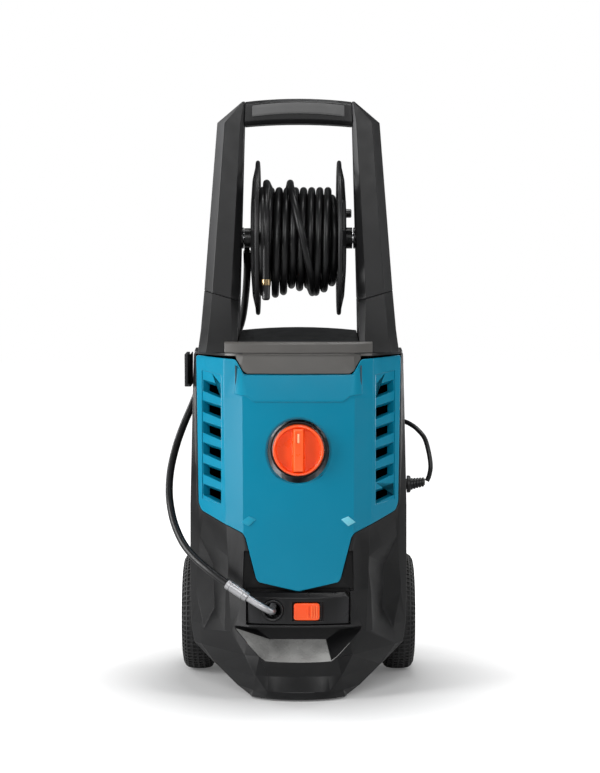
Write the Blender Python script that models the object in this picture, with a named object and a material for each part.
"""Upright electric pressure washer with a hose reel, built as separate solid pieces.

Units are metres. +Z is up and the front of the machine faces -Y. The origin is on the floor,
at the middle of the machine's footprint. Every piece is one named object. Pieces that move
hang from an empty that stands on their joint's axis.
"""
import math

import bmesh
import bpy
from mathutils import Matrix, Vector

# ---- clearances and walls
GAP = 0.0003              # between two pieces that touch
SEAM = 0.0008             # shadow line round the front cover
RUNNING = 0.0003          # between a shaft and its bore
WALL = 0.003              # moulded shells
SHARP = math.radians(32)

# ---- body shells
BODY_HALF = 0.159         # half the width of the body
BODY_TOP = 0.479          # rim of the shells, where the deck sits
BODY_FLOOR = 0.0025       # underside of the toe, above its rubber feet
BACK_Y = 0.126            # flat back wall
SPLIT_Y = -0.024          # seam between the front and rear shells

# Plan sections of the body, from the floor up: height, front centre y, then (x, y) of the soft
# fold, the main fold and three points on the side, whose x is an inset from BODY_HALF, then the
# (x, y) of the rear taper and of the back corner.
SECTIONS = [
    (BODY_FLOOR, -0.1580, (0.045, -0.1490), (0.066, -0.1360), (0.0890, -0.118), (0.0890, -0.100),
     (0.0890, -0.095), (0.068, -0.088), (0.060, -0.085)),
    (0.0130, -0.1575, (0.044, -0.1490), (0.063, -0.1390), (0.0710, -0.103), (0.0670, -0.070),
     (0.0650, -0.020), (0.090, 0.030), (0.080, 0.035)),
    (0.0330, -0.1445, (0.042, -0.1432), (0.0605, -0.1412), (0.0410, -0.062), (0.0350, -0.040),
     (0.0330, 0.030), (0.108, 0.100), (0.100, 0.110)),
    (0.0600, -0.1405, (0.055, -0.1370), (0.076, -0.1270), (0.0190, -0.048), (0.0070, -0.030),
     (0.0055, 0.045), (0.118, 0.110), (0.108, 0.124)),
    (0.0900, -0.1310, (0.070, -0.1260), (0.0955, -0.1110), (0.0155, -0.046), (0.0030, -0.030),
     (0.0015, 0.045), (0.120, 0.112), (0.110, BACK_Y)),
    (0.1500, -0.1200, (0.0745, -0.1160), (0.0985, -0.1020), (0.0135, -0.045), (0.0020, -0.030),
     (0.0, 0.045), (0.120, 0.112), (0.110, BACK_Y)),
    (0.2600, -0.1185, (0.0775, -0.1145), (0.1020, -0.1000), (0.0130, -0.044), (0.0025, -0.030),
     (0.0005, 0.045), (0.120, 0.112), (0.110, BACK_Y)),
    (BODY_TOP - 0.059, -0.1130, (0.0785, -0.1090), (0.1045, -0.0960), (0.0117, -0.043),
     (0.0065, -0.030), (0.0047, 0.045), (0.118, 0.105), (0.108, 0.120)),
    (BODY_TOP, -0.1070, (0.0785, -0.1030), (0.1045, -0.0920), (0.0112, -0.0415), (0.0085, -0.030),
     (0.0065, 0.040), (0.118, 0.080), (0.108, 0.085)),
]

CROWN_STEPS = 4           # strips of the crowned front, from its middle to each soft fold

# ---- front cover, outlines seen from the front, right half from the top to the bottom
COVER_EDGE = BODY_HALF - 0.0125
COVER_STEP_Z = BODY_TOP - 0.0245      # where the cover's top edge drops for the apron
COVER_TIP_Z = 0.1495
COVER_HALF_THICK = 0.0015
VENT_COUNT = 6
VENT_TOP = BODY_TOP - 0.0275
VENT_BOTTOM = 0.2785
VENT_BAR = 0.0068                     # height of the bars between the vents
VENT_SPAN = (0.0100, 0.0530)          # from the main fold, along the side facet
VENT_DEPTH = 0.012
VENT_DROP = (0.12, 0.18)              # slopes of a vent's roof and floor towards the middle

# ---- switch dial
KNOB_Z = BODY_TOP - 0.130
KNOB_R = 0.036
KNOB_RING_R = KNOB_R + 0.0037
KNOB_DISH_R = KNOB_RING_R + 0.0065
KNOB_FACE_Y = -0.1285                 # front of the grip bar
STEM_R = 0.006

# ---- outlet console
CONSOLE_HALF = 0.0710
CONSOLE_Z = (0.1035, 0.1475)
CONSOLE_BACK_Y = -0.103
CONSOLE_FRONT_Y = -0.127              # at the middle, the ends lie CONSOLE_CROWN further back
CONSOLE_CROWN = 0.0085
OUTLET = (-0.0362, 0.1233)            # x and z of the outlet's axis
OUTLET_R = 0.0150
OUTLET_BORE_R = 0.0105
LATCH_X = (-0.0064, 0.0298)
LATCH_Z = (0.1097, 0.1336)
LATCH_TRAVEL = 0.004

# ---- deck, shoulders and handle posts
DECK_Z = BODY_TOP + 0.0210            # top of the front band
DECK_SLAB = 0.005
BAND_BACK_Y = -0.0865
SILL_HALF = 0.0855
SHOULDER_Y = (-0.086, 0.070)
SEAM_RISE = 0.0565                    # from DECK_Z to the inner end of the post's seam
SEAM_SLOPE = 0.28
POST_CORNER = DECK_Z + 0.309
HANDLE_TOP = DECK_Z + 0.3435
POST_OUT = (BODY_HALF - 0.0162, 0.1345, 0.1160)   # at the deck, the seam and the corner
POST_IN = (0.0870, 0.0850, 0.0772)
POST_Y_SEAM = (-0.058, 0.050)
POST_Y_TOP = (-0.040, 0.022)
POST_CHAMFER = (0.0110, 0.0050)       # inner front chamfer, at the seam and at the corner

# ---- hose reel
REEL_Y = 0.011
REEL_Z = DECK_Z + 0.145
FLANGE_R = 0.112
FLANGE_THICK = 0.0026
DRUM_R = 0.052
DRUM_WALL = 0.004
DRUM_HALF = 0.0570
FLANGE_RIM_X = 0.0600                 # outer face at the rim
FLANGE_HUB_X = 0.0685                 # outer face of the dished middle
WINDOW_COUNT = 8
REEL_SHAFT_R = 0.008
HUB_R = 0.0153
BUSH_FACE_X = 0.0795
BUSH_DEPTH = 0.0100                   # how far the bush sits in the post
HOSE_D = 0.0105
COIL_OUT = 0.0790
CRANK_RADIUS = FLANGE_R - 0.0400
CRANK_ANGLE = math.radians(30)        # above the horizontal, towards the back
CRANK_KNOB_R = 0.0065
CRANK_TIP_X = 0.0785

# ---- wheels
WHEEL_R = 0.0865
WHEEL_Y = 0.0725
WHEEL_IN_X = BODY_HALF - 0.0350
WHEEL_WIDTH = 0.0480
RIM_R = WHEEL_R - 0.0265
AXLE_R = 0.006
WELL_CLEAR = 0.0090
WELL_IN_X = WHEEL_IN_X - 0.0050
FOOT_H = BODY_FLOOR - GAP

# ---- motor and pump, on one upright axis
MOTOR_Y = 0.015
MOTOR_R = 0.055
MOTOR_Z = (0.2050, 0.3850)
CAN_WALL = 0.0040
SHAFT_R = 0.006
ROTOR_R = 0.0340
CRADLE_Z = (0.2000, 0.2045)
PUMP_R = 0.040
PUMP_Z = (0.1350, 0.1997)
PUMP_WALL = 0.005
SWASH_R = 0.028
SWASH_TILT = math.radians(8.5)
PISTON_R = 0.006
PISTON_CIRCLE = 0.020
PISTON_TRAVEL = 0.006
PISTON_FOOT_Z = 0.1600
HEAD_Z = (0.0800, 0.1347)

# ---- cords
JUMPER_D = 0.011
CABLE_D = 0.007
GLAND_Y = 0.020
GLAND_Z = 0.2840
RELIEF_TIP = (BODY_HALF + 0.0270, GLAND_Y, GLAND_Z + 0.0034)
WINDING_Z = 0.300
WINDING_HALF_RUN = 0.055              # from the middle to the centre of each end turn
WINDING_IN_R = 0.028
WINDING_OUT_R = 0.049
WINDING_Y = (0.1300, 0.1510)

ELBOW_ROUTE = [
    (-0.0362, -0.1230, 0.1233), (-0.0362, -0.1340, 0.1233), (-0.0400, -0.1420, 0.1255),
    (-0.0500, -0.1440, 0.1312), (-0.0617, -0.1400, 0.1377), (-0.0712, -0.1362, 0.1431),
]
JUMPER_ROUTE = [
    (-0.1005, -0.1260, 0.1613), (-0.1248, -0.1120, 0.1771), (-0.1467, -0.0950, 0.1928),
    (-0.1646, -0.0780, 0.2117), (-0.1778, -0.0580, 0.2361), (-0.1849, -0.0400, 0.2611),
    (-0.1875, -0.0220, 0.2835), (-0.1860, -0.0020, 0.3103), (-0.1793, 0.0220, 0.3415),
    (-0.1695, 0.0460, 0.3702), (-0.1587, 0.0690, 0.3960), (-0.1420, 0.0930, 0.4350),
    (-0.1180, 0.1060, 0.4700), (-0.0950, 0.1080, 0.4980), (-0.0848, 0.1000, 0.5220),
    (-0.0790, 0.0800, 0.5580), (-0.0757, 0.0520, 0.5960), (-0.0753, 0.0285, 0.6252),
]
CABLE_ROUTE = [
    (0.1888, 0.0200, 0.2885), (0.1915, 0.0202, 0.2945), (0.1935, 0.0206, 0.3025),
    (0.1942, 0.0220, 0.3127), (0.1920, 0.0270, 0.3292), (0.1865, 0.0360, 0.3494),
    (0.1768, 0.0470, 0.3614), (0.1686, 0.0580, 0.3673), (0.1600, 0.0700, 0.3710),
    (0.1480, 0.0870, 0.3730), (0.1320, 0.1080, 0.3720), (0.1130, 0.1280, 0.3680),
    (0.0900, 0.1385, 0.3600), (0.0700, 0.1405, 0.3530), (0.0494, 0.1405, 0.3500),
]
OUTLET_PIPE_ROUTE = [
    (-0.0060, -0.0220, 0.1090), (-0.0080, -0.0400, 0.1090), (-0.0200, -0.0620, 0.1150),
    (-0.0350, -0.0780, 0.1215), (-0.0362, -0.0925, 0.1233),
]
INLET_PIPE_ROUTE = [
    (0.0060, 0.0515, 0.1120), (0.0080, 0.0620, 0.1130), (0.0220, 0.0850, 0.1150),
    (0.0420, 0.0980, 0.1120), (0.0450, 0.1130, 0.1100),
]
INLET_AT = (0.0450, 0.1100)           # x and z of the water inlet


# ---------------------------------------------------------------- small tools

def clear_scene():
    """Remove whatever the file opened with."""
    for obj in list(bpy.data.objects):
        bpy.data.objects.remove(obj, do_unlink=True)


def make_material(name, color, roughness, metallic=0.0):
    """A plain Principled material."""
    made = bpy.data.materials.new(name)
    made.use_nodes = True
    shader = made.node_tree.nodes["Principled BSDF"]
    shader.inputs["Base Color"].default_value = (*color, 1.0)
    shader.inputs["Roughness"].default_value = roughness
    shader.inputs["Metallic"].default_value = metallic
    return made


def finish(name, bm, look=None, at=(0, 0, 0), parent=None):
    """Turn a bmesh into a named object; without a look it is a cutter."""
    bmesh.ops.remove_doubles(bm, verts=bm.verts, dist=1e-6)
    bmesh.ops.recalc_face_normals(bm, faces=bm.faces)
    mesh = bpy.data.meshes.new(name)
    bm.to_mesh(mesh)
    bm.free()
    mesh.shade_smooth()
    mesh.set_sharp_from_angle(angle=SHARP)
    obj = bpy.data.objects.new(name, mesh)
    bpy.context.collection.objects.link(obj)
    obj.location = at
    obj.parent = parent
    if look is None:
        obj.hide_render = True
        obj.display_type = 'WIRE'
    else:
        mesh.materials.append(look)
    return obj


def pivot(name, at, parent=None):
    """An empty that stands on a joint's axis."""
    obj = bpy.data.objects.new(name, None)
    bpy.context.collection.objects.link(obj)
    obj.location = at
    obj.parent = parent
    return obj


def boolean(obj, operation, cutters):
    """Add one live Boolean for each cutter."""
    for cutter in cutters:
        step = obj.modifiers.new(operation.lower(), 'BOOLEAN')
        step.operation = operation
        step.object = cutter
    return obj


def cut(obj, *cutters):
    return boolean(obj, 'DIFFERENCE', cutters)


def join(obj, *others):
    return boolean(obj, 'UNION', others)


def keep(obj, *others):
    return boolean(obj, 'INTERSECT', others)


def soften(obj, width, segments=1, angle=50):
    """Round the edges that are sharper than the angle."""
    step = obj.modifiers.new("rounded edges", 'BEVEL')
    step.width = width
    step.segments = segments
    step.limit_method = 'ANGLE'
    step.angle_limit = math.radians(angle)
    return obj


def loft_mesh(rings):
    """A closed solid through rings of equal length."""
    bm = bmesh.new()
    rows = [[bm.verts.new(point) for point in ring] for ring in rings]
    count = len(rows[0])
    for low, high in zip(rows, rows[1:]):
        for i in range(count):
            j = (i + 1) % count
            rising = (low[i].co - high[j].co).length
            falling = (low[j].co - high[i].co).length
            if rising <= falling:
                bm.faces.new((low[i], low[j], high[j]))
                bm.faces.new((low[i], high[j], high[i]))
            else:
                bm.faces.new((low[i], low[j], high[i]))
                bm.faces.new((low[j], high[j], high[i]))
    bm.faces.new(rows[0])
    bm.faces.new(rows[-1])
    return bm


def prism_mesh(outline, axis, low, high):
    """An outline of (a, b) points pushed along an axis, from low to high."""
    place = {
        'X': lambda a, b, c: (c, a, b),
        'Y': lambda a, b, c: (a, c, b),
        'Z': lambda a, b, c: (a, b, c),
    }[axis]
    bm = bmesh.new()
    base = bm.faces.new([bm.verts.new(place(a, b, low)) for a, b in outline])
    pushed = bmesh.ops.extrude_face_region(bm, geom=[base])
    moved = [item for item in pushed["geom"] if isinstance(item, bmesh.types.BMVert)]
    bmesh.ops.translate(bm, verts=moved, vec=Vector(place(0, 0, high - low)))
    return bm


def block_mesh(low, high):
    """A box between two corners."""
    bm = bmesh.new()
    size = [b - a for a, b in zip(low, high)]
    middle = [(a + b) / 2 for a, b in zip(low, high)]
    shape = Matrix.Translation(middle) @ Matrix.Diagonal((*size, 1))
    bmesh.ops.create_cube(bm, size=1, matrix=shape)
    return bm


def turned_mesh(profile, axis, steps=40):
    """A closed profile of (radius, height) points spun once round an axis."""
    bm = bmesh.new()
    points = [bm.verts.new((radius, 0, height)) for radius, height in profile]
    edges = [bm.edges.new((a, b)) for a, b in zip(points, points[1:] + points[:1])
             if a.co.x > 0 or b.co.x > 0]
    bmesh.ops.spin(bm, geom=points + edges, cent=(0, 0, 0), axis=(0, 0, 1),
                   angle=math.tau, steps=steps, use_merge=True)
    bmesh.ops.remove_doubles(bm, verts=bm.verts, dist=1e-6)
    turn = {'X': Matrix.Rotation(math.pi / 2, 4, 'Y'),
            'Y': Matrix.Rotation(-math.pi / 2, 4, 'X'),
            'Z': Matrix.Identity(4)}[axis]
    bmesh.ops.transform(bm, matrix=turn, verts=bm.verts)
    return bm


def rod_profile(radius, low, high):
    return [(0, low), (radius, low), (radius, high), (0, high)]


def tube_profile(inner, outer, low, high):
    return [(inner, low), (outer, low), (outer, high), (inner, high)]


def hull_mesh(points):
    """The convex solid round a set of points."""
    bm = bmesh.new()
    verts = [bm.verts.new(point) for point in points]
    made = bmesh.ops.convex_hull(bm, input=verts)
    spare = [item for item in made["geom_interior"] if isinstance(item, bmesh.types.BMVert)]
    bmesh.ops.delete(bm, geom=spare, context='VERTS')
    return bm


def grown(bm, distance):
    """Push every face of a closed mesh out by a distance."""
    bmesh.ops.recalc_face_normals(bm, faces=bm.faces)
    bm.normal_update()
    moves = [vert.normal * distance * vert.calc_shell_factor() for vert in bm.verts]
    for vert, move in zip(bm.verts, moves):
        vert.co += move
    return bm


def offset_outline(points, distance):
    """Move each side of a counter-clockwise outline outwards."""
    moved = []
    count = len(points)
    for i in range(count):
        before, here, after = (Vector(points[k % count]) for k in (i - 1, i, i + 1))
        first = (here - before).normalized()
        second = (after - here).normalized()
        normal_a = Vector((first.y, -first.x))
        normal_b = Vector((second.y, -second.x))
        middle = normal_a + normal_b
        share = 2 * distance / max(middle.length_squared, 0.2)
        moved.append(tuple(here + middle * share))
    return moved


def rounded_outline(points, radius, steps=3):
    """Replace each corner of an outline by a short arc."""
    result = []
    count = len(points)
    for i in range(count):
        before, here, after = (Vector(points[k % count]) for k in (i - 1, i, i + 1))
        back = before - here
        ahead = after - here
        reach = min(radius, back.length * 0.4, ahead.length * 0.4)
        start = here + back.normalized() * reach
        end = here + ahead.normalized() * reach
        for step in range(steps + 1):
            t = step / steps
            result.append(tuple(start * (1 - t) ** 2 + here * 2 * t * (1 - t) + end * t ** 2))
    return result


def both_halves(right):
    """Close a right half outline, given from top to bottom, with its mirror image."""
    left = [(-x, z) for x, z in reversed(right) if abs(x) > 1e-6]
    return list(reversed(right + left))


def smooth_path(route, spacing):
    """Points at even spacing on a smooth curve through the route."""
    points = [Vector(point) for point in route]
    ends = [points[0] * 2 - points[1]] + points + [points[-1] * 2 - points[-2]]
    fine = []
    for a, b, c, d in zip(ends, ends[1:], ends[2:], ends[3:]):
        for step in range(24):
            t = step / 24
            fine.append(0.5 * (2 * b + (c - a) * t + (2 * a - 5 * b + 4 * c - d) * t ** 2
                               + (3 * b - 3 * c + d - a) * t ** 3))
    fine.append(points[-1])
    lengths = [0.0]
    for a, b in zip(fine, fine[1:]):
        lengths.append(lengths[-1] + (b - a).length)
    count = max(2, round(lengths[-1] / spacing))
    result = []
    index = 0
    for step in range(count + 1):
        goal = lengths[-1] * step / count
        while index < len(fine) - 2 and lengths[index + 1] < goal:
            index += 1
        part = (goal - lengths[index]) / (lengths[index + 1] - lengths[index])
        result.append(fine[index].lerp(fine[index + 1], min(1.0, part)))
    return result


def tube_object(name, route, diameter, look, spacing, sides=2):
    """A round tube along a smooth route, with closed ends."""
    curve = bpy.data.curves.new(name, 'CURVE')
    curve.dimensions = '3D'
    curve.bevel_depth = diameter / 2
    curve.bevel_resolution = sides
    curve.use_fill_caps = True
    path = smooth_path(route, spacing)
    spline = curve.splines.new('POLY')
    spline.points.add(len(path) - 1)
    for point, place in zip(spline.points, path):
        point.co = (*place, 1)
    curve.materials.append(look)
    obj = bpy.data.objects.new(name, curve)
    bpy.context.collection.objects.link(obj)
    return obj


# ---------------------------------------------------------------- the body's outer form

def section_ring(section, grow):
    """One closed plan section of the body, moved outwards by grow."""
    z, front_y, soft, fold, edge, side_front, side_back, taper, corner = section
    right = []
    for step in range(CROWN_STEPS):
        t = step / CROWN_STEPS
        right.append((soft[0] * t, front_y + (soft[1] - front_y) * t * t))
    right += [soft, fold]
    right += [(BODY_HALF - inset, y) for inset, y in (edge, side_front, side_back)]
    right += [taper, corner, (0.0, corner[1])]
    left = [(-x, y) for x, y in reversed(right[1:-1])]
    return [(x, y, z) for x, y in offset_outline(right + left, grow)]


def body_form(name, grow, lift=0.0, drop=0.0, look=None):
    """The body's whole outer form. Positive lift and drop carry its ends straight on."""
    rings = [section_ring(section, grow) for section in SECTIONS]
    top = [(x, y, z + lift) for x, y, z in rings[-1]]
    bottom = [(x, y, z - drop) for x, y, z in rings[0]]
    rings = rings + [top] if lift > 0 else rings[:-1] + [top]
    rings = [bottom] + rings if drop > 0 else [bottom] + rings[1:]
    return finish(name, loft_mesh(rings), look)


def section_point_at(z, fold_index=2):
    """The y of a front point of the body at a height."""
    for low, high in zip(SECTIONS, SECTIONS[1:]):
        if low[0] <= z <= high[0]:
            t = (z - low[0]) / (high[0] - low[0])
            a = Vector(low[fold_index]).lerp(Vector(high[fold_index]), t)
            return a
    return Vector(SECTIONS[-1][fold_index])


def pocket_points(side):
    """Grip pocket low on one side: its rim on the surface and its inner ridge."""
    ridge_high = Vector((BODY_HALF - 0.0360, -0.056, 0.179))
    ridge_low = Vector((BODY_HALF - 0.0380, -0.056, 0.114))
    rim = [
        (Vector((BODY_HALF - 0.0180, -0.0500, 0.217)), ridge_high),
        (Vector((0.1000, -0.1010, 0.196)), ridge_high),
        (Vector((0.1080, -0.0905, 0.093)), ridge_low),
        (Vector((BODY_HALF - 0.0212, -0.0545, 0.083)), ridge_low),
        (Vector((BODY_HALF - 0.0115, -0.0420, 0.151)), ridge_high),
    ]
    points = [ridge_high, ridge_low]
    points += [ridge + (edge - ridge) * 1.35 for edge, ridge in rim]
    return [(side * point.x, point.y, point.z) for point in points]


def pocket_form(name, side, grow=0.0):
    return finish(name, grown(hull_mesh(pocket_points(side)), grow))


def tray_form(name, grow=0.0):
    """The foot tray's hollow, from its rim on the surface to its back wall."""
    pairs = [
        ((0.0465, -0.1415, 0.0525), (0.0385, -0.0990, 0.0765)),
        ((0.0860, -0.1135, 0.0950), (0.0588, -0.1010, 0.0915)),
        ((0.0865, -0.1120, 0.0990), (0.0588, -0.1010, 0.0990)),
        ((0.0500, -0.1400, 0.0990), (0.0385, -0.1010, 0.0990)),
    ]
    points = []
    for rim, back in pairs:
        rim, back = Vector(rim), Vector(back)
        outer = back + (rim - back) * 1.4
        for point in (outer, back):
            points += [(point.x, point.y, point.z), (-point.x, point.y, point.z)]
    return finish(name, grown(hull_mesh(points), grow))


def console_pocket_form(name, grow=0.0):
    """The opening in the front shell that the console sits in."""
    low = (-CONSOLE_HALF - 0.0025, -0.20, CONSOLE_Z[0] - 0.0012)
    high = (CONSOLE_HALF + 0.0025, CONSOLE_BACK_Y + GAP, CONSOLE_Z[1] + 0.004)
    return finish(name, grown(block_mesh(low, high), grow))


def throat_form(name, grow=0.0):
    """The dark recess between the cover's lower end and the two arms."""
    outline = [(-0.0785, 0.1490), (0.0785, 0.1490), (0.0765, 0.2060), (-0.0765, 0.2060)]
    return finish(name, grown(prism_mesh(outline, 'Y', -0.20, -0.1060), grow))


def well_form(name, side, grow=0.0):
    """The space that a wheel turns in."""
    radius = WHEEL_R + WELL_CLEAR + grow
    profile = rod_profile(radius, WELL_IN_X - grow, BODY_HALF + 0.05)
    bm = turned_mesh(profile, 'X', 32)
    if side < 0:
        bmesh.ops.scale(bm, vec=(-1, 1, 1), verts=bm.verts)
    return finish(name, bm, at=(0, WHEEL_Y, WHEEL_R))


def cavity_form():
    """The hollow inside the shells: the body less its wall, clear of every pocket."""
    cavity = body_form("cavity", -WALL, lift=0.02, drop=-WALL)
    shelf = block_mesh((-0.0800, -0.2, 0.0700), (0.0800, -0.1000, 0.1040))
    cut(cavity, finish("shelf under console", shelf),
        pocket_form("pocket wall left", -1, WALL), pocket_form("pocket wall right", 1, WALL),
        tray_form("tray wall", WALL), console_pocket_form("console wall", WALL),
        throat_form("throat wall", WALL), well_form("well wall left", -1, WALL),
        well_form("well wall right", 1, WALL))
    return cavity


def cover_outline(grow=0.0, open_top=False):
    """The front cover's outline. With open_top its stepped top edge runs out of the body."""
    if open_top:
        top = [(0.0, BODY_TOP + 0.05), (COVER_EDGE, BODY_TOP + 0.05)]
    else:
        top = [(0.0, COVER_STEP_Z), (0.0765, COVER_STEP_Z), (0.0885, BODY_TOP - 0.0035),
               (0.1090, BODY_TOP - 0.0025), (COVER_EDGE, BODY_TOP - 0.0006)]
    right = top + [
        (COVER_EDGE - 0.0030, 0.2660), (COVER_EDGE - 0.0075, 0.2555), (0.0983, 0.2400),
        (0.0785, 0.2315), (0.0745, 0.2255), (0.0595, 0.1670), (0.0560, 0.1620),
        (0.0, COVER_TIP_Z)]
    return offset_outline(rounded_outline(both_halves(right), 0.004), grow)


# ---------------------------------------------------------------- shells and cover

def build_shells(looks):
    cavity = cavity_form()
    pockets = [pocket_form("pocket left", -1), pocket_form("pocket right", 1)]
    opening = prism_mesh(cover_outline(SEAM, open_top=True), 'Y', -0.20, -0.0260)
    passage = turned_mesh(rod_profile(OUTLET_R + GAP, -0.2, -0.08), 'Y', 24)
    front = body_form("front_shell", 0.0, look=looks["shell"])
    keep(front, finish("front side", block_mesh((-0.3, -0.3, -0.1), (0.3, SPLIT_Y, 0.9))))
    wells = [well_form("well left", -1), well_form("well right", 1)]
    cut(front, cavity, finish("cover opening", opening), *pockets, *wells,
        tray_form("tray hollow"),
        console_pocket_form("console pocket"), throat_form("throat"),
        finish("outlet passage", passage, at=(OUTLET[0], 0, OUTLET[1])))
    rear = body_form("rear_shell", 0.0, look=looks["shell"])
    keep(rear, finish("rear side", block_mesh((-0.3, SPLIT_Y + GAP, -0.1), (0.3, 0.3, 0.9))))
    axle_hole = turned_mesh(rod_profile(AXLE_R + RUNNING, -0.3, 0.3), 'X', 24)
    gland_hole = turned_mesh(rod_profile(0.0085, 0.1, 0.2), 'X', 20)
    inlet_hole = turned_mesh(rod_profile(0.0125, 0.1, 0.2), 'Y', 24)
    cut(rear, cavity, *wells,
        finish("axle hole", axle_hole, at=(0, WHEEL_Y, WHEEL_R)),
        finish("gland hole", gland_hole, at=(0, GLAND_Y, GLAND_Z)),
        finish("inlet hole", inlet_hole, at=(INLET_AT[0], 0, INLET_AT[1])))


def side_facet(side):
    """The middle height's side facet: a point on its fold, its direction and its normal."""
    fold = section_point_at(KNOB_Z, 3)
    edge_inset, edge_y = section_point_at(KNOB_Z, 4)
    start = Vector((side * fold.x, fold.y, 0))
    end = Vector((side * (BODY_HALF - edge_inset), edge_y, 0))
    along = (end - start).normalized()
    outwards = Vector((side * along.y, -abs(along.x), 0))
    return start, along, outwards


def facet_prism(name, side, corners, depth_in, drop):
    """A cutter through the side facet; corners are (along, z), pushed in by depth and down."""
    start, along, outwards = side_facet(side)
    near = []
    far = []
    for s, z, sink in corners:
        base = start + along * s
        near.append(base + outwards * 0.012 + Vector((0, 0, z)))
        far.append(base - outwards * depth_in + Vector((0, 0, z - sink * drop)))
    return finish(name, loft_mesh([near, far]))


def vent_cutters(side):
    """Sloping slots: each roof runs inwards and down, as a louvre does."""
    pitch = (VENT_TOP - VENT_BOTTOM + VENT_BAR) / VENT_COUNT
    height = pitch - VENT_BAR
    start, end = VENT_SPAN
    roof_fall, floor_fall = (slope * (end - start) for slope in VENT_DROP)
    cutters = []
    for i in range(VENT_COUNT):
        top = VENT_TOP - i * pitch
        corners = [(start, top - height - floor_fall, 0.1), (end, top - height, 0.1),
                   (end, top, 1.0), (start, top - roof_fall, 1.0)]
        name = f"vent {i} {'left' if side < 0 else 'right'}"
        cutters.append(facet_prism(name, side, corners, 0.024, height * 0.95))
    return cutters


def build_cover(looks):
    cover = body_form("front_cover", COVER_HALF_THICK, lift=0.01, look=looks["teal"])
    outline = prism_mesh(cover_outline(), 'Y', -0.20, -0.0300)
    keep(cover, finish("cover outline", outline))
    cut(cover, body_form("cover inside", -COVER_HALF_THICK, lift=0.03, drop=0.02))
    band = body_form("logo band", COVER_HALF_THICK + 0.0012, lift=0.01)
    band_right = [(0.0, COVER_STEP_Z - 0.001), (0.0765, COVER_STEP_Z - 0.001),
                  (0.0880, BODY_TOP - 0.012), (0.0900, BODY_TOP - 0.052),
                  (0.0720, BODY_TOP - 0.0545), (0.0630, BODY_TOP - 0.0627),
                  (0.0, BODY_TOP - 0.0627)]
    band_outline = rounded_outline(both_halves(band_right), 0.002, 2)
    keep(band, finish("band outline", prism_mesh(band_outline, 'Y', -0.20, -0.05)))
    cut(band, body_form("band inside", 0.0, lift=0.03, drop=0.02))
    join(cover, band)
    for side in (-1, 1):
        word = 'left' if side < 0 else 'right'
        backing = body_form(f"vent backing {word}", 0.0, lift=-0.001)
        low_x, high_x = 0.1070, COVER_EDGE - 0.0055
        frame = [(side * low_x, VENT_BOTTOM - 0.012), (side * high_x, VENT_BOTTOM - 0.008),
                 (side * high_x, VENT_TOP + 0.010), (side * low_x, VENT_TOP + 0.004)]
        keep(backing, finish(f"vent frame {word}", prism_mesh(frame, 'Y', -0.20, -0.0265)))
        cut(backing, body_form(f"vent back {word}", -VENT_DEPTH, lift=0.03, drop=0.02))
        join(cover, backing)
        hollow = body_form(f"vent hollow {word}", 0.02, lift=-0.001)
        rim = [(side * 0.1090, VENT_BOTTOM - 0.010), (side * 0.1378, VENT_BOTTOM - 0.0060),
               (side * 0.1378, VENT_TOP + 0.0055), (side * 0.1090, VENT_TOP + 0.0015)]
        keep(hollow, finish(f"vent rim {word}", prism_mesh(rim, 'Y', -0.20, -0.0265)))
        cut(hollow, body_form(f"vent floor {word}", COVER_HALF_THICK - 0.0012, lift=0.03, drop=0.02))
        cut(cover, hollow, *vent_cutters(side))
    surface = section_point_at(KNOB_Z, 2)
    rim_y = SECTIONS[7][1] - 0.004
    dish = [(0, rim_y - 0.02), (KNOB_DISH_R + 0.002, rim_y - 0.02), (KNOB_DISH_R + 0.002, rim_y),
            (KNOB_RING_R + 0.0004, rim_y + 0.0065), (KNOB_RING_R + 0.0004, surface.y + 0.05),
            (0, surface.y + 0.05)]
    cut(cover, finish("dial dish", turned_mesh(dish, 'Y', 48), at=(0, 0, KNOB_Z)))


def build_dial(looks):
    ring_y = section_point_at(KNOB_Z, 2).y
    face = KNOB_FACE_Y
    ring = turned_mesh(tube_profile(KNOB_R + 0.0012, KNOB_RING_R, face + 0.0160, face + 0.0300),
                       'Y', 48)
    finish("dial_ring", ring, looks["shell"], at=(0, 0, KNOB_Z))
    axis = pivot("dial axis", (0, face, KNOB_Z))
    profile = [(0, 0.0085), (KNOB_R - 0.0050, 0.0085), (KNOB_R - 0.0040, 0.0030),
               (KNOB_R - 0.0015, 0.0018),
               (KNOB_R, 0.0045), (KNOB_R, 0.0210), (STEM_R, 0.0210), (STEM_R, 0.0400), (0, 0.0400)]
    knob = finish("dial_knob", turned_mesh(profile, 'Y', 40), looks["orange"], parent=axis)
    bar = loft_mesh([
        [(-0.0062, 0, 0.0070 - KNOB_R), (0.0062, 0, 0.0070 - KNOB_R),
         (0.0062, 0, KNOB_R - 0.0060), (-0.0062, 0, KNOB_R - 0.0060)],
        [(-0.0092, 0.0100, 0.0045 - KNOB_R), (0.0092, 0.0100, 0.0045 - KNOB_R),
         (0.0092, 0.0100, KNOB_R - 0.0040), (-0.0092, 0.0100, KNOB_R - 0.0040)]])
    groove = block_mesh((-0.0018, -0.01, 0.0105), (0.0018, 0.0016, 0.0245))
    join(knob, finish("dial bar", bar, parent=axis))
    cut(knob, finish("dial mark", groove, parent=axis))
    back_y = ring_y + 0.045
    box = block_mesh((-0.024, face + 0.0310, KNOB_Z - 0.024), (0.024, back_y, KNOB_Z + 0.024))
    hole = turned_mesh(rod_profile(STEM_R + RUNNING, face + 0.02, face + 0.0410), 'Y', 24)
    switch = finish("switch_box", box, looks["dark"])
    cut(switch, finish("stem hole", hole, at=(0, 0, KNOB_Z)))


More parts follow.
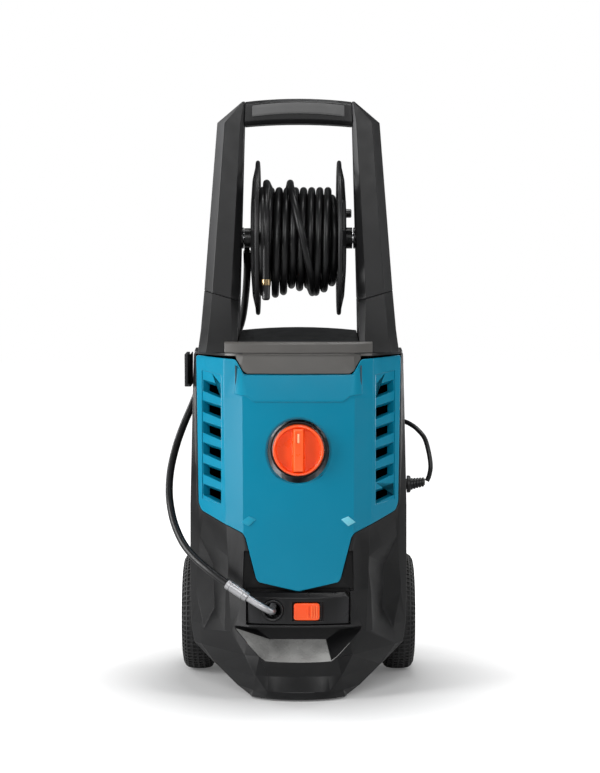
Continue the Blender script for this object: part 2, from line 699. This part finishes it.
def console_outline(shrink=0.0):
    """The console seen from above: a crowned front and a flat back."""
    half = CONSOLE_HALF - shrink
    front = []
    for step in range(-4, 5):
        t = step / 4
        front.append((half * t, CONSOLE_FRONT_Y + CONSOLE_CROWN * t * t + shrink))
    return front + [(half, CONSOLE_BACK_Y), (-half, CONSOLE_BACK_Y)]


def build_console(looks):
    low, high = CONSOLE_Z
    rings = []
    for z, shrink in ((low, 0.0), (high - 0.0065, 0.0), (high, 0.0055)):
        rings.append([(x, y, z) for x, y in console_outline(shrink)])
    panel = finish("console_panel", loft_mesh(rings), looks["console"])
    outlet = turned_mesh(rod_profile(OUTLET_R + GAP, -0.2, -0.08), 'Y', 32)
    pocket = block_mesh((LATCH_X[0] - 0.0018, -0.2, LATCH_Z[0] - 0.0014),
                        (LATCH_X[1] + LATCH_TRAVEL + 0.0008, -0.1215, LATCH_Z[1] + 0.0014))
    slot = block_mesh((-0.002, -0.2, 0.1175), (0.0260, -0.08, 0.1255))
    cut(panel, finish("outlet hole", outlet, at=(OUTLET[0], 0, OUTLET[1])),
        finish("latch pocket", pocket), finish("latch slot", slot))
    socket_profile = [
        (OUTLET_BORE_R, -0.0970), (OUTLET_R, -0.0970), (OUTLET_R, -0.1275), (0.0138, -0.1285),
        (0.0118, -0.1275), (OUTLET_BORE_R, -0.1240)]
    socket = turned_mesh(socket_profile, 'Y', 32)
    finish("outlet_socket", socket, looks["dark"], at=(OUTLET[0], 0, OUTLET[1]))
    middle = (sum(LATCH_X) / 2, -0.1218, sum(LATCH_Z) / 2)
    axis = pivot("latch slide", middle)
    half_x = (LATCH_X[1] - LATCH_X[0]) / 2
    half_z = (LATCH_Z[1] - LATCH_Z[0]) / 2
    corners = [(-half_x, -half_z), (half_x, -half_z), (half_x, half_z), (-half_x, half_z)]
    plate = prism_mesh(rounded_outline(corners, 0.0045, 3), 'Y', -0.0080, -GAP)
    stem = block_mesh((-0.0085, -0.001, -0.0036), (0.0055, 0.0150, 0.0034))
    latch = finish("outlet_latch", plate, looks["orange"], parent=axis)
    soften(latch, 0.0010, 2)
    join(latch, finish("latch stem", stem, parent=axis))
    for i in range(4):
        x = 0.0030 + i * 0.0032
        rib = block_mesh((x, -0.012, -0.0075), (x + 0.0014, -0.0070, 0.0075))
        cut(latch, finish(f"latch groove {i}", rib, parent=axis))


# ---------------------------------------------------------------- deck and handle

def post_plan(outer, inner, front, back, chamfer):
    """Plan section of a shoulder or post, right side, counter-clockwise from above."""
    corner = min(0.012, (outer - inner) * 0.28)
    small = min(0.004, (outer - inner) * 0.15)
    return [(inner, front + chamfer), (inner + chamfer, front), (outer - corner, front),
            (outer, front + corner), (outer, back - corner), (outer - corner, back),
            (inner + small, back), (inner, back - small)]


def post_inner_x(z):
    """The post's inner wall at a height."""
    low = DECK_Z + SEAM_RISE
    t = (z - low) / (POST_CORNER - low)
    return POST_IN[1] + (POST_IN[2] - POST_IN[1]) * t


def mirrored_ring(ring, side):
    if side > 0:
        return ring
    return [(-x, y, z) for x, y, z in reversed(ring)]


def build_deck(looks):
    slab_low = BODY_TOP + GAP
    slab_high = BODY_TOP + DECK_SLAB
    top_section = SECTIONS[-1]
    outline = [(x, y) for x, y, _ in section_ring(top_section, -0.0010)]
    slab = finish("top_deck", prism_mesh(outline, 'Z', slab_low, slab_high), looks["shell"])
    sill_rings = []
    for step in range(-4, 5):
        t = step / 4
        x = SILL_HALF * t
        crown = 0.0045 * (1 - t * t)
        rear = SHOULDER_Y[1] - 0.004
        sill_rings.append([
            (x, -0.0860, slab_low + 0.001), (x, rear, slab_low + 0.001),
            (x, rear, DECK_Z + 0.0065 + crown), (x, rear - 0.010, DECK_Z + 0.0090 + crown),
            (x, -0.0760, DECK_Z), (x, -0.0860, DECK_Z)])
    join(slab, finish("sill", loft_mesh(sill_rings)))
    apron = body_form("apron", -0.0008, lift=0.004)
    apron_right = [(0.0, BODY_TOP + 0.003), (0.0885, BODY_TOP + 0.003),
                   (0.0885 - SEAM, BODY_TOP - 0.0030), (0.0778, COVER_STEP_Z + 0.0044),
                   (0.0720, COVER_STEP_Z + SEAM), (0.0, COVER_STEP_Z + SEAM)]
    keep(apron, finish("apron outline", prism_mesh(both_halves(apron_right), 'Y', -0.2, -0.07)))
    cut(apron, body_form("apron inside", -0.0040, lift=0.03, drop=0.02))
    join(slab, apron)
    band_rings = []
    _, middle_y, soft, fold = SECTIONS[-1][:4]
    for x, front in ((-fold[0], fold[1]), (-soft[0], soft[1]), (0, middle_y),
                     (soft[0], soft[1]), (fold[0], fold[1])):
        front += 0.0015
        band_rings.append([
            (x, front, slab_high + GAP), (x, BAND_BACK_Y, slab_high + GAP),
            (x, BAND_BACK_Y, DECK_Z - 0.0002), (x, front + 0.003, DECK_Z - 0.0002),
            (x, front, DECK_Z - 0.0030)])
    finish("deck_band", loft_mesh(band_rings), looks["band"])


def build_handle(looks):
    low = BODY_TOP + DECK_SLAB + GAP
    seam = DECK_Z + SEAM_RISE
    for side, word in ((-1, "left"), (1, "right")):
        base = post_plan(POST_OUT[0], POST_IN[0], SHOULDER_Y[0], SHOULDER_Y[1], 0.006)
        joint = post_plan(POST_OUT[1], POST_IN[1], POST_Y_SEAM[0], POST_Y_SEAM[1], POST_CHAMFER[0])
        lower = [(x, y, low) for x, y in base]
        middle = []
        for a, b in zip(base, joint):
            t = 0.45
            middle.append((a[0] + (b[0] - a[0]) * t, a[1] + (b[1] - a[1]) * t,
                           low + (seam - low) * 0.42))
        upper = [(x, y, seam + (x - POST_IN[1]) * SEAM_SLOPE) for x, y in joint]
        rings = [mirrored_ring(ring, side) for ring in (lower, middle, upper)]
        finish(f"handle_shoulder_{word}", loft_mesh(rings), looks["shell"])
        start = [(x, y, z + GAP) for x, y, z in upper]
        corner = post_plan(POST_OUT[2], POST_IN[2], POST_Y_TOP[0], POST_Y_TOP[1], POST_CHAMFER[1])
        tip = post_plan(POST_IN[2] + 0.0025, POST_IN[2] - 0.0010, POST_Y_TOP[0] + 0.002,
                        POST_Y_TOP[1] - 0.002, 0.001)
        turn = [(x, y, POST_CORNER) for x, y in corner]
        top = [(x, y, HANDLE_TOP - 0.0045) for x, y in tip]
        rings = [mirrored_ring(ring, side) for ring in (start, turn, top)]
        post = finish(f"handle_post_{word}", loft_mesh(rings), looks["shell"])
        seat = rod_profile(HUB_R + GAP, 0.05, BUSH_FACE_X + BUSH_DEPTH + GAP)
        hole = turned_mesh(seat, 'X', 32)
        bush_profile = [
            (REEL_SHAFT_R + RUNNING, BUSH_FACE_X), (HUB_R, BUSH_FACE_X),
            (HUB_R, BUSH_FACE_X + BUSH_DEPTH), (0, BUSH_FACE_X + BUSH_DEPTH),
            (0, BUSH_FACE_X + BUSH_DEPTH - 0.002), (REEL_SHAFT_R + RUNNING, BUSH_FACE_X + BUSH_DEPTH - 0.002)]
        bush = turned_mesh(bush_profile, 'X', 32)
        if side < 0:
            for bm in (hole, bush):
                bmesh.ops.scale(bm, vec=(-1, 1, 1), verts=bm.verts)
        cut(post, finish(f"bush seat {word}", hole, at=(0, REEL_Y, REEL_Z)))
        finish(f"reel_bush_{word}", bush, looks["dark"], at=(0, REEL_Y, REEL_Z))
    build_grip(looks)


def grip_heights(t):
    """Underside and top of the grip bar; t runs from -1 to 1 across it."""
    arch = 1 - t * t
    return HANDLE_TOP - 0.0390 + 0.0035 * arch, HANDLE_TOP - 0.0045 + 0.0045 * arch


def build_grip(looks):
    front, back = POST_Y_TOP[0] + 0.003, POST_Y_TOP[1] - 0.004
    rings = []
    pad_rings = []
    for step in range(-5, 6):
        t = step / 5
        under, top = grip_heights(t)
        plan = [(front + 0.006, under), (back - 0.006, under), (back, under + 0.008),
                (back, top - 0.010), (back - 0.008, top), (front + 0.010, top),
                (front, top - 0.005), (front, under + 0.006)]
        ring = []
        for y, z in plan:
            ring.append(((post_inner_x(z) - GAP) * t, y, z))
        rings.append(ring)
        x = 0.0655 * t
        pad_rings.append([
            (x, front - GAP, top - 0.0215), (x, front - GAP, top - 0.0060),
            (x, front - 0.0018, top - 0.0058), (x, front - 0.0030, top - 0.0100),
            (x, front - 0.0030, top - 0.0190), (x, front - 0.0018, top - 0.0217)])
    finish("handle_grip", loft_mesh(rings), looks["shell"])
    finish("grip_pad", loft_mesh(pad_rings), looks["pad"])


# ---------------------------------------------------------------- hose reel

def flange_profile(hub_end):
    """Dished reel flange, right side: (radius, x) from the bore outwards and back."""
    bore = REEL_SHAFT_R + GAP
    outer = [(HUB_R, hub_end), (HUB_R, FLANGE_HUB_X), (0.055, FLANGE_HUB_X),
             (FLANGE_R - 0.027, FLANGE_HUB_X - 0.0022), (FLANGE_R - 0.009, FLANGE_RIM_X + 0.0022),
             (FLANGE_R, FLANGE_RIM_X)]
    inner = [(FLANGE_R, FLANGE_RIM_X - FLANGE_THICK),
             (FLANGE_R - 0.009, FLANGE_RIM_X + 0.0018 - FLANGE_THICK),
             (FLANGE_R - 0.027, FLANGE_HUB_X - 0.0024 - FLANGE_THICK),
             (0.055, FLANGE_HUB_X - FLANGE_THICK),
             (bore, FLANGE_HUB_X - FLANGE_THICK)]
    return [(bore, hub_end)] + outer + inner


def build_reel(looks):
    axis = pivot("reel axis", (0, REEL_Y, REEL_Z))
    shaft_end = BUSH_FACE_X + BUSH_DEPTH - 0.0035
    shaft = turned_mesh(rod_profile(REEL_SHAFT_R, -shaft_end, shaft_end), 'X', 24)
    finish("reel_shaft", shaft, looks["steel"], parent=axis)
    drum_end = FLANGE_HUB_X - FLANGE_THICK - GAP
    drum = [(REEL_SHAFT_R + GAP, -0.004), (DRUM_R - DRUM_WALL, -0.004),
            (DRUM_R - DRUM_WALL, -drum_end), (DRUM_R, -drum_end), (DRUM_R, drum_end),
            (DRUM_R - DRUM_WALL, drum_end), (DRUM_R - DRUM_WALL, 0.004), (REEL_SHAFT_R + GAP, 0.004)]
    finish("reel_drum", turned_mesh(drum, 'X', 32), looks["shell"], parent=axis)
    swivel_in, swivel_out = FLANGE_HUB_X + 0.0013, FLANGE_HUB_X + 0.0103
    for side, word, hub_end in ((-1, "left", FLANGE_HUB_X + 0.0008), (1, "right", BUSH_FACE_X - 0.0015)):
        flange = turned_mesh(flange_profile(hub_end), 'X', 48)
        if side < 0:
            bmesh.ops.scale(flange, vec=(-1, 1, 1), verts=flange.verts)
        plate = finish(f"reel_flange_{word}", flange, looks["shell"], parent=axis)
        for i in range(WINDOW_COUNT):
            middle = math.tau * (i + 0.5) / WINDOW_COUNT
            half = math.radians(15.5)
            ring = []
            for radius, turns in ((FLANGE_R - 0.0255, (-1, 0, 1)), (FLANGE_R - 0.0060, (1, 0, -1))):
                for turn in turns:
                    angle = middle + half * turn
                    ring.append((radius * math.cos(angle), radius * math.sin(angle)))
            window = prism_mesh(ring, 'X', side * 0.05, side * 0.08)
            cut(plate, finish(f"window {word} {i}", window, parent=axis))
    build_crank(looks, axis)
    coil_in = DRUM_R + 0.0012
    coil_half = FLANGE_RIM_X - FLANGE_THICK - 0.0006
    coil = turned_mesh(tube_profile(coil_in, COIL_OUT, -coil_half, coil_half), 'X', 32)
    finish("hose_coil", coil, looks["rubber"], parent=axis)
    end_y, end_z = -0.0735, -0.0580
    nut = turned_mesh(tube_profile(0.0040, 0.0066, -0.0085, 0.0), 'Z', 16)
    finish("hose_end_nut", nut, looks["brass"], at=(-0.0461, end_y, end_z), parent=axis)
    boot_profile = [(0, -0.0300), (0.0035, -0.0298), (0.0056, -0.0275), (0.0062, -0.0088), (0, -0.0088)]
    boot = turned_mesh(boot_profile, 'Z', 16)
    finish("hose_end_cap", boot, looks["dark"], at=(-0.0461, end_y, end_z), parent=axis)
    ring = turned_mesh(tube_profile(REEL_SHAFT_R + RUNNING, HUB_R - 0.001, -swivel_out, -swivel_in),
                       'X', 32)
    swivel = finish("reel_swivel", ring, looks["dark"], at=(0, REEL_Y, REEL_Z))
    end = Vector(JUMPER_ROUTE[-1]) - Vector((0, REEL_Y, REEL_Z))
    along = (end - Vector((end.x, 0, 0))).normalized()
    stem = turned_mesh(rod_profile(0.0040, 0.0110, Vector((0, end.y, end.z)).length - GAP), 'Z', 16)
    aim = Vector((0, 0, 1)).rotation_difference(along).to_matrix().to_4x4()
    bmesh.ops.transform(stem, matrix=Matrix.Translation((end.x, 0, 0)) @ aim, verts=stem.verts)
    join(swivel, finish("swivel stem", stem, at=(0, REEL_Y, REEL_Z)))


def build_crank(looks, axis):
    place = (0, CRANK_RADIUS * math.cos(CRANK_ANGLE), CRANK_RADIUS * math.sin(CRANK_ANGLE))
    start = FLANGE_HUB_X + GAP
    pin = turned_mesh(rod_profile(0.0028, start, CRANK_TIP_X - 0.0008), 'X', 16)
    finish("crank_pin", pin, looks["steel"], at=place, parent=axis)
    knob_axis = pivot("crank axis", place, axis)
    profile = [(0.0028 + RUNNING, start + 0.0008), (CRANK_KNOB_R - 0.0006, start + 0.0008),
               (CRANK_KNOB_R, start + 0.0020), (CRANK_KNOB_R, CRANK_TIP_X - 0.0012),
               (CRANK_KNOB_R - 0.0010, CRANK_TIP_X), (0, CRANK_TIP_X),
               (0, CRANK_TIP_X - 0.0005), (0.0028 + RUNNING, CRANK_TIP_X - 0.0005)]
    finish("crank_knob", turned_mesh(profile, 'X', 20), looks["dark"], parent=knob_axis)


# ---------------------------------------------------------------- wheels, feet, fittings

def build_wheels(looks):
    outer = WHEEL_IN_X + WHEEL_WIDTH
    axle = turned_mesh(rod_profile(AXLE_R, -outer + 0.003, outer - 0.003), 'X', 24)
    finish("wheel_axle", axle, looks["steel"], at=(0, WHEEL_Y, WHEEL_R))
    for side, word in ((-1, "left"), (1, "right")):
        axis = pivot(f"wheel axis {word}", (0, WHEEL_Y, WHEEL_R))
        bore = AXLE_R + RUNNING
        hub = 0.0200
        rim = [(bore, WHEEL_IN_X + 0.002), (hub, WHEEL_IN_X + 0.002), (hub, WHEEL_IN_X + 0.024),
               (RIM_R - 0.005, WHEEL_IN_X + 0.024), (RIM_R - 0.005, WHEEL_IN_X + 0.004),
               (RIM_R, WHEEL_IN_X + 0.004), (RIM_R, outer - 0.004), (RIM_R - 0.005, outer - 0.004),
               (RIM_R - 0.007, outer - 0.012), (hub + 0.004, outer - 0.010), (hub, outer + 0.002),
               (0, outer + 0.002), (0, outer - 0.002), (bore, outer - 0.002)]
        width = WHEEL_WIDTH
        tyre = [(RIM_R + GAP, WHEEL_IN_X + 0.004), (WHEEL_R - 0.014, WHEEL_IN_X),
                (WHEEL_R - 0.006, WHEEL_IN_X + 0.0020), (WHEEL_R - 0.0012, WHEEL_IN_X + 0.0075),
                (WHEEL_R, WHEEL_IN_X + width * 0.35), (WHEEL_R, WHEEL_IN_X + width * 0.65),
                (WHEEL_R - 0.0012, outer - 0.0075), (WHEEL_R - 0.006, outer - 0.0020),
                (WHEEL_R - 0.014, outer), (RIM_R + GAP, outer - 0.004)]
        for name, profile, look in (("wheel_rim", rim, "dark"), ("wheel_tyre", tyre, "tyre")):
            bm = turned_mesh(profile, 'X', 40)
            if side < 0:
                bmesh.ops.scale(bm, vec=(-1, 1, 1), verts=bm.verts)
            finish(f"{name}_{word}", bm, looks[look], parent=axis)


def build_fittings(looks):
    for side, word in ((-1, "left"), (1, "right")):
        foot = block_mesh((side * 0.036 - 0.017, -0.135, 0.0), (side * 0.036 + 0.017, -0.113, FOOT_H))
        soften(finish(f"foot_{word}", foot, looks["rubber"]), 0.0006)
    side_x = -(BODY_HALF - 0.0047) - GAP
    base = [(side_x, -0.028), (side_x - 0.0012, -0.030), (side_x - 0.0096, -0.030),
            (side_x - 0.0096, 0.030), (side_x - 0.0012, 0.030), (side_x, 0.028)]
    holder = finish("lance_holder", prism_mesh(base, 'Z', BODY_TOP - 0.0475, BODY_TOP - 0.0005),
                    looks["shell"])
    groove = block_mesh((side_x - 0.0046, -0.05, BODY_TOP - 0.0440),
                        (side_x - 0.0016, 0.05, BODY_TOP + 0.01))
    cut(holder, finish("holder groove", groove))
    flange_x = BODY_HALF + GAP
    gland = [(0.0043, flange_x), (0.0128, flange_x), (0.0128, flange_x + 0.0038),
             (0.0110, flange_x + 0.0056), (0.0043, flange_x + 0.0056)]
    plug_in = [(0.0043, flange_x - 0.010), (0.0078, flange_x - 0.010), (0.0078, flange_x + 0.002),
               (0.0043, flange_x + 0.002)]
    collar = finish("cable_gland", turned_mesh(gland, 'X', 24), looks["shell"],
                    at=(0, GLAND_Y, GLAND_Z))
    join(collar, finish("gland neck", turned_mesh(plug_in, 'X', 24), at=(0, GLAND_Y, GLAND_Z)))
    build_relief(looks, flange_x + 0.0056 + GAP)
    build_hooks(looks)
    inlet = [(0.0050, -0.0100), (0.0120, -0.0100), (0.0120, 0.0003), (0.0165, 0.0003),
             (0.0165, 0.0040), (0.0120, 0.0050), (0.0120, 0.0120), (0.0133, 0.0130),
             (0.0133, 0.0150), (0.0095, 0.0190), (0.0095, 0.0250), (0.0050, 0.0250)]
    finish("water_inlet", turned_mesh(inlet, 'Y', 28), looks["brass"],
           at=(INLET_AT[0], BACK_Y, INLET_AT[1]))


def build_relief(looks, start_x):
    """Ribbed strain relief that tapers towards its tip and tilts up a little."""
    length = RELIEF_TIP[0] - start_x - GAP
    ribs = 5
    profile = [(CABLE_D / 2 + GAP, 0.0)]
    for i in range(ribs):
        radius = 0.0088 - 0.0022 * i / ribs
        a = length * i / ribs
        b = length * (i + 0.62) / ribs
        c = length * (i + 1) / ribs
        profile += [(radius, a), (radius, b), (radius - 0.0016, b + 0.0004)]
        if i < ribs - 1:
            profile.append((radius - 0.0016, c - 0.0004))
    profile += [(0.0050, length), (CABLE_D / 2 + GAP, length)]
    rise = math.atan2(RELIEF_TIP[2] - GLAND_Z, length)
    relief = turned_mesh(profile, 'X', 20)
    for vert in relief.verts:
        vert.co.z += vert.co.x * math.tan(rise)
    finish("strain_relief", relief, looks["rubber"], at=(start_x, GLAND_Y, GLAND_Z))


def build_hooks(looks):
    """Two cable hooks on the back wall; the cable is wound round both."""
    wall_y = BACK_Y + GAP
    peg_end = WINDING_Y[1] + 0.0012
    for word, side in (("upper", 1), ("lower", -1)):
        centre = WINDING_Z + side * WINDING_HALF_RUN
        tip = centre + side * 0.052
        root = centre - side * 0.006
        peg_top = centre + side * 0.016
        outline = [(wall_y, root), (peg_end, root), (peg_end + 0.0058, root + side * 0.006),
                   (peg_end + 0.0058, tip - side * 0.004), (peg_end + 0.0030, tip),
                   (peg_end, tip - side * 0.003), (peg_end, peg_top), (wall_y, peg_top)]
        hook = finish(f"cable_hook_{word}", prism_mesh(outline, 'X', -0.019, 0.019), looks["shell"])
        soften(hook, 0.0010)


# ---------------------------------------------------------------- motor and pump

def build_drive(looks):
    here = (0, MOTOR_Y, 0)
    low, high = MOTOR_Z
    hole = SHAFT_R + 0.002
    can = [(hole, low), (MOTOR_R, low), (MOTOR_R, high), (hole, high), (hole, high - CAN_WALL),
           (MOTOR_R - CAN_WALL, high - CAN_WALL), (MOTOR_R - CAN_WALL, low + CAN_WALL),
           (hole, low + CAN_WALL)]
    finish("motor_housing", turned_mesh(can, 'Z', 40), looks["cast"], at=here)
    stator = tube_profile(ROTOR_R + 0.002, MOTOR_R - CAN_WALL - GAP, low + 0.035, high - 0.040)
    finish("motor_stator", turned_mesh(stator, 'Z', 32), looks["copper"], at=here)
    axis = pivot("motor axis", here)
    shaft = [(0, PISTON_FOOT_Z + 0.006), (SHAFT_R, PISTON_FOOT_Z + 0.006), (SHAFT_R, low + 0.030),
             (ROTOR_R, low + 0.030), (ROTOR_R, high - 0.035), (SHAFT_R, high - 0.035),
             (SHAFT_R, high + 0.0200), (0, high + 0.0200)]
    armature = finish("motor_armature", turned_mesh(shaft, 'Z', 24), looks["steel"], parent=axis)
    rise = SWASH_R * math.tan(SWASH_TILT)
    plate = turned_mesh(rod_profile(SWASH_R, 0.0, 0.013), 'Z', 24)
    for vert in plate.verts:
        if vert.co.z < 0.001:
            vert.co.z = vert.co.x * math.tan(SWASH_TILT)
    floor = PISTON_FOOT_Z + 0.0006 + rise
    join(armature, finish("swash plate", plate, at=(0, 0, floor), parent=axis))
    build_fan(looks, axis, high + 0.0045)
    build_pump(looks)
    ring = [(x, y) for x, y, _ in section_ring(SECTIONS[6], -WALL - GAP)]
    cradle = finish("motor_cradle", prism_mesh(ring, 'Z', *CRADLE_Z), looks["dark"])
    front_cut = block_mesh((-0.2, -0.2, CRADLE_Z[0] - 0.01), (0.2, -0.0400, CRADLE_Z[1] + 0.01))
    neck = turned_mesh(rod_profile(PUMP_R - 0.004, CRADLE_Z[0] - 0.01, CRADLE_Z[1] + 0.01), 'Z', 32)
    cut(cradle, finish("cradle front", front_cut), finish("cradle hole", neck, at=here),
        well_form("well under cradle left", -1, WALL + GAP),
        well_form("well under cradle right", 1, WALL + GAP))


def build_fan(looks, axis, z):
    """Cooling fan: a hub, a thin disc and straight blades under it."""
    hub = [(SHAFT_R + GAP, z), (0.0120, z), (0.0120, z + 0.0100), (0.0450, z + 0.0100),
           (0.0450, z + 0.0120), (SHAFT_R + GAP, z + 0.0120)]
    fan = finish("cooling_fan", turned_mesh(hub, 'Z', 24), looks["dark"], parent=axis)
    for i in range(7):
        blade = block_mesh((0.0110, -0.0009, z + 0.0005), (0.0440, 0.0009, z + 0.0106))
        bmesh.ops.rotate(blade, verts=blade.verts, matrix=Matrix.Rotation(math.tau * i / 7, 3, 'Z'))
        join(fan, finish(f"fan blade {i}", blade, parent=axis))


def build_pump(looks):
    here = (0, MOTOR_Y, 0)
    low, high = PUMP_Z
    floor = low + 0.008
    body_profile = [(0, low), (PUMP_R, low), (PUMP_R, high - 0.006), (PUMP_R + 0.008, high - 0.006),
                    (PUMP_R + 0.008, high), (PUMP_R - PUMP_WALL, high), (PUMP_R - PUMP_WALL, floor),
                    (0, floor)]
    body = finish("pump_body", turned_mesh(body_profile, 'Z', 32), looks["cast"], at=here)
    head_profile = [(0, HEAD_Z[0]), (0.030, HEAD_Z[0]), (0.0360, HEAD_Z[0] + 0.006),
                    (0.0360, HEAD_Z[1]), (0, HEAD_Z[1])]
    head = finish("pump_head", turned_mesh(head_profile, 'Z', 24), looks["brass"], at=here)
    names = ("piston_front", "piston_right", "piston_left")
    for i, name in enumerate(names):
        angle = -math.pi / 2 + math.tau * i / 3
        x = PISTON_CIRCLE * math.cos(angle)
        y = MOTOR_Y + PISTON_CIRCLE * math.sin(angle)
        bore = turned_mesh(rod_profile(PISTON_R + RUNNING, HEAD_Z[0] + 0.012, floor + 0.01), 'Z', 20)
        hole = finish(f"bore {name}", bore, at=(x, y, 0))
        cut(body, hole)
        cut(head, hole)
        slide = pivot(f"slide {name}", (x, y, PISTON_FOOT_Z))
        travel_room = HEAD_Z[0] + 0.012 + PISTON_TRAVEL + 0.004 - PISTON_FOOT_Z
        profile = [(0, travel_room), (PISTON_R, travel_room), (PISTON_R, -0.005),
                   (PISTON_R + 0.0015, -0.005), (PISTON_R + 0.0015, -0.001),
                   (PISTON_R, 0.0), (0, 0.0)]
        finish(name, turned_mesh(profile, 'Z', 20), looks["steel"], parent=slide)
    tube_object("outlet_pipe", OUTLET_PIPE_ROUTE, 0.010, looks["steel"], 0.012)
    tube_object("inlet_pipe", INLET_PIPE_ROUTE, 0.010, looks["rubber"], 0.012)


# ---------------------------------------------------------------- cords

def build_cords(looks):
    tube_object("outlet_elbow", ELBOW_ROUTE, 0.0096, looks["chrome"], 0.0065, 3)
    start, end = Vector(ELBOW_ROUTE[-1]), Vector(JUMPER_ROUTE[0])
    along = (end - start).normalized()
    length = (end - start).length - 5 * GAP
    profile = [(0, 0), (0.0062, 0), (0.0068, 0.001), (0.0068, length - 0.001), (0.0064, length),
               (0, length)]
    ferrule = turned_mesh(profile, 'Z', 20)
    aim = Vector((0, 0, 1)).rotation_difference(along).to_matrix().to_4x4()
    bmesh.ops.transform(ferrule, matrix=Matrix.Translation(start + along * GAP) @ aim,
                        verts=ferrule.verts)
    finish("jumper_ferrule", ferrule, looks["chrome"])
    tube_object("jumper_hose", JUMPER_ROUTE, JUMPER_D, looks["rubber"], JUMPER_D * 2.1)
    tube_object("power_cable", CABLE_ROUTE, CABLE_D, looks["rubber"], CABLE_D * 1.6)
    stadium = []
    for middle, turn in ((WINDING_HALF_RUN, 0.0), (-WINDING_HALF_RUN, math.pi)):
        for step in range(9):
            angle = turn + math.pi * step / 8
            stadium.append((middle, angle))
    outer = [(WINDING_OUT_R * math.cos(a), WINDING_Z + m + WINDING_OUT_R * math.sin(a))
             for m, a in stadium]
    inner = [(WINDING_IN_R * math.cos(a), WINDING_Z + m + WINDING_IN_R * math.sin(a))
             for m, a in stadium]
    winding = finish("cable_winding", prism_mesh(outer, 'Y', *WINDING_Y), looks["rubber"])
    cut(winding, finish("winding hole", prism_mesh(inner, 'Y', WINDING_Y[0] - 0.01,
                                                   WINDING_Y[1] + 0.01)))
    build_plug(looks)


def build_plug(looks):
    """Mains plug that hangs under the winding, its pins down."""
    top = WINDING_Z - WINDING_HALF_RUN - WINDING_OUT_R - GAP
    middle_y = sum(WINDING_Y) / 2
    body = [
        [(x * 0.0045, middle_y + y * 0.0045, top) for x, y in unit_ring(12)],
        [(x * 0.0060, middle_y + y * 0.0060, top - 0.018) for x, y in unit_ring(12)],
        [(x * 0.0150, middle_y + y * 0.0115, top - 0.024) for x, y in unit_ring(12)],
        [(x * 0.0185, middle_y + y * 0.0125, top - 0.050) for x, y in unit_ring(12)],
    ]
    plug = finish("power_plug", loft_mesh(body), looks["dark"])
    for x in (-0.0095, 0.0095):
        pin = turned_mesh(rod_profile(0.0024, top - 0.069, top - 0.048), 'Z', 12)
        join(plug, finish(f"plug pin {x}", pin, at=(x, middle_y, 0)))


def unit_ring(count):
    """Points of a circle of radius one."""
    return [(math.cos(math.tau * i / count), math.sin(math.tau * i / count)) for i in range(count)]


# ---------------------------------------------------------------- everything

def main():
    clear_scene()
    looks = {
        "shell": make_material("black moulded plastic", (0.030, 0.030, 0.031), 0.45),
        "console": make_material("gloss black plastic", (0.018, 0.018, 0.019), 0.25),
        "dark": make_material("matt black plastic", (0.015, 0.015, 0.015), 0.55),
        "band": make_material("grey band", (0.070, 0.070, 0.072), 0.40),
        "pad": make_material("grip pad", (0.055, 0.055, 0.057), 0.60),
        "teal": make_material("blue cover", (0.000, 0.245, 0.400), 0.35),
        "orange": make_material("orange controls", (1.0, 0.090, 0.010), 0.40),
        "rubber": make_material("black rubber", (0.012, 0.012, 0.012), 0.55),
        "tyre": make_material("tyre", (0.014, 0.014, 0.014), 0.70),
        "steel": make_material("bright steel", (0.55, 0.55, 0.56), 0.30, 1.0),
        "chrome": make_material("chrome", (0.80, 0.80, 0.81), 0.15, 1.0),
        "brass": make_material("brass", (0.70, 0.52, 0.25), 0.35, 1.0),
        "copper": make_material("copper windings", (0.60, 0.26, 0.12), 0.40, 1.0),
        "cast": make_material("cast aluminium", (0.40, 0.40, 0.41), 0.50, 1.0),
    }
    build_shells(looks)
    build_cover(looks)
    build_dial(looks)
    build_console(looks)
    build_deck(looks)
    build_handle(looks)
    build_reel(looks)
    build_wheels(looks)
    build_fittings(looks)
    build_drive(looks)
    build_cords(looks)


main()
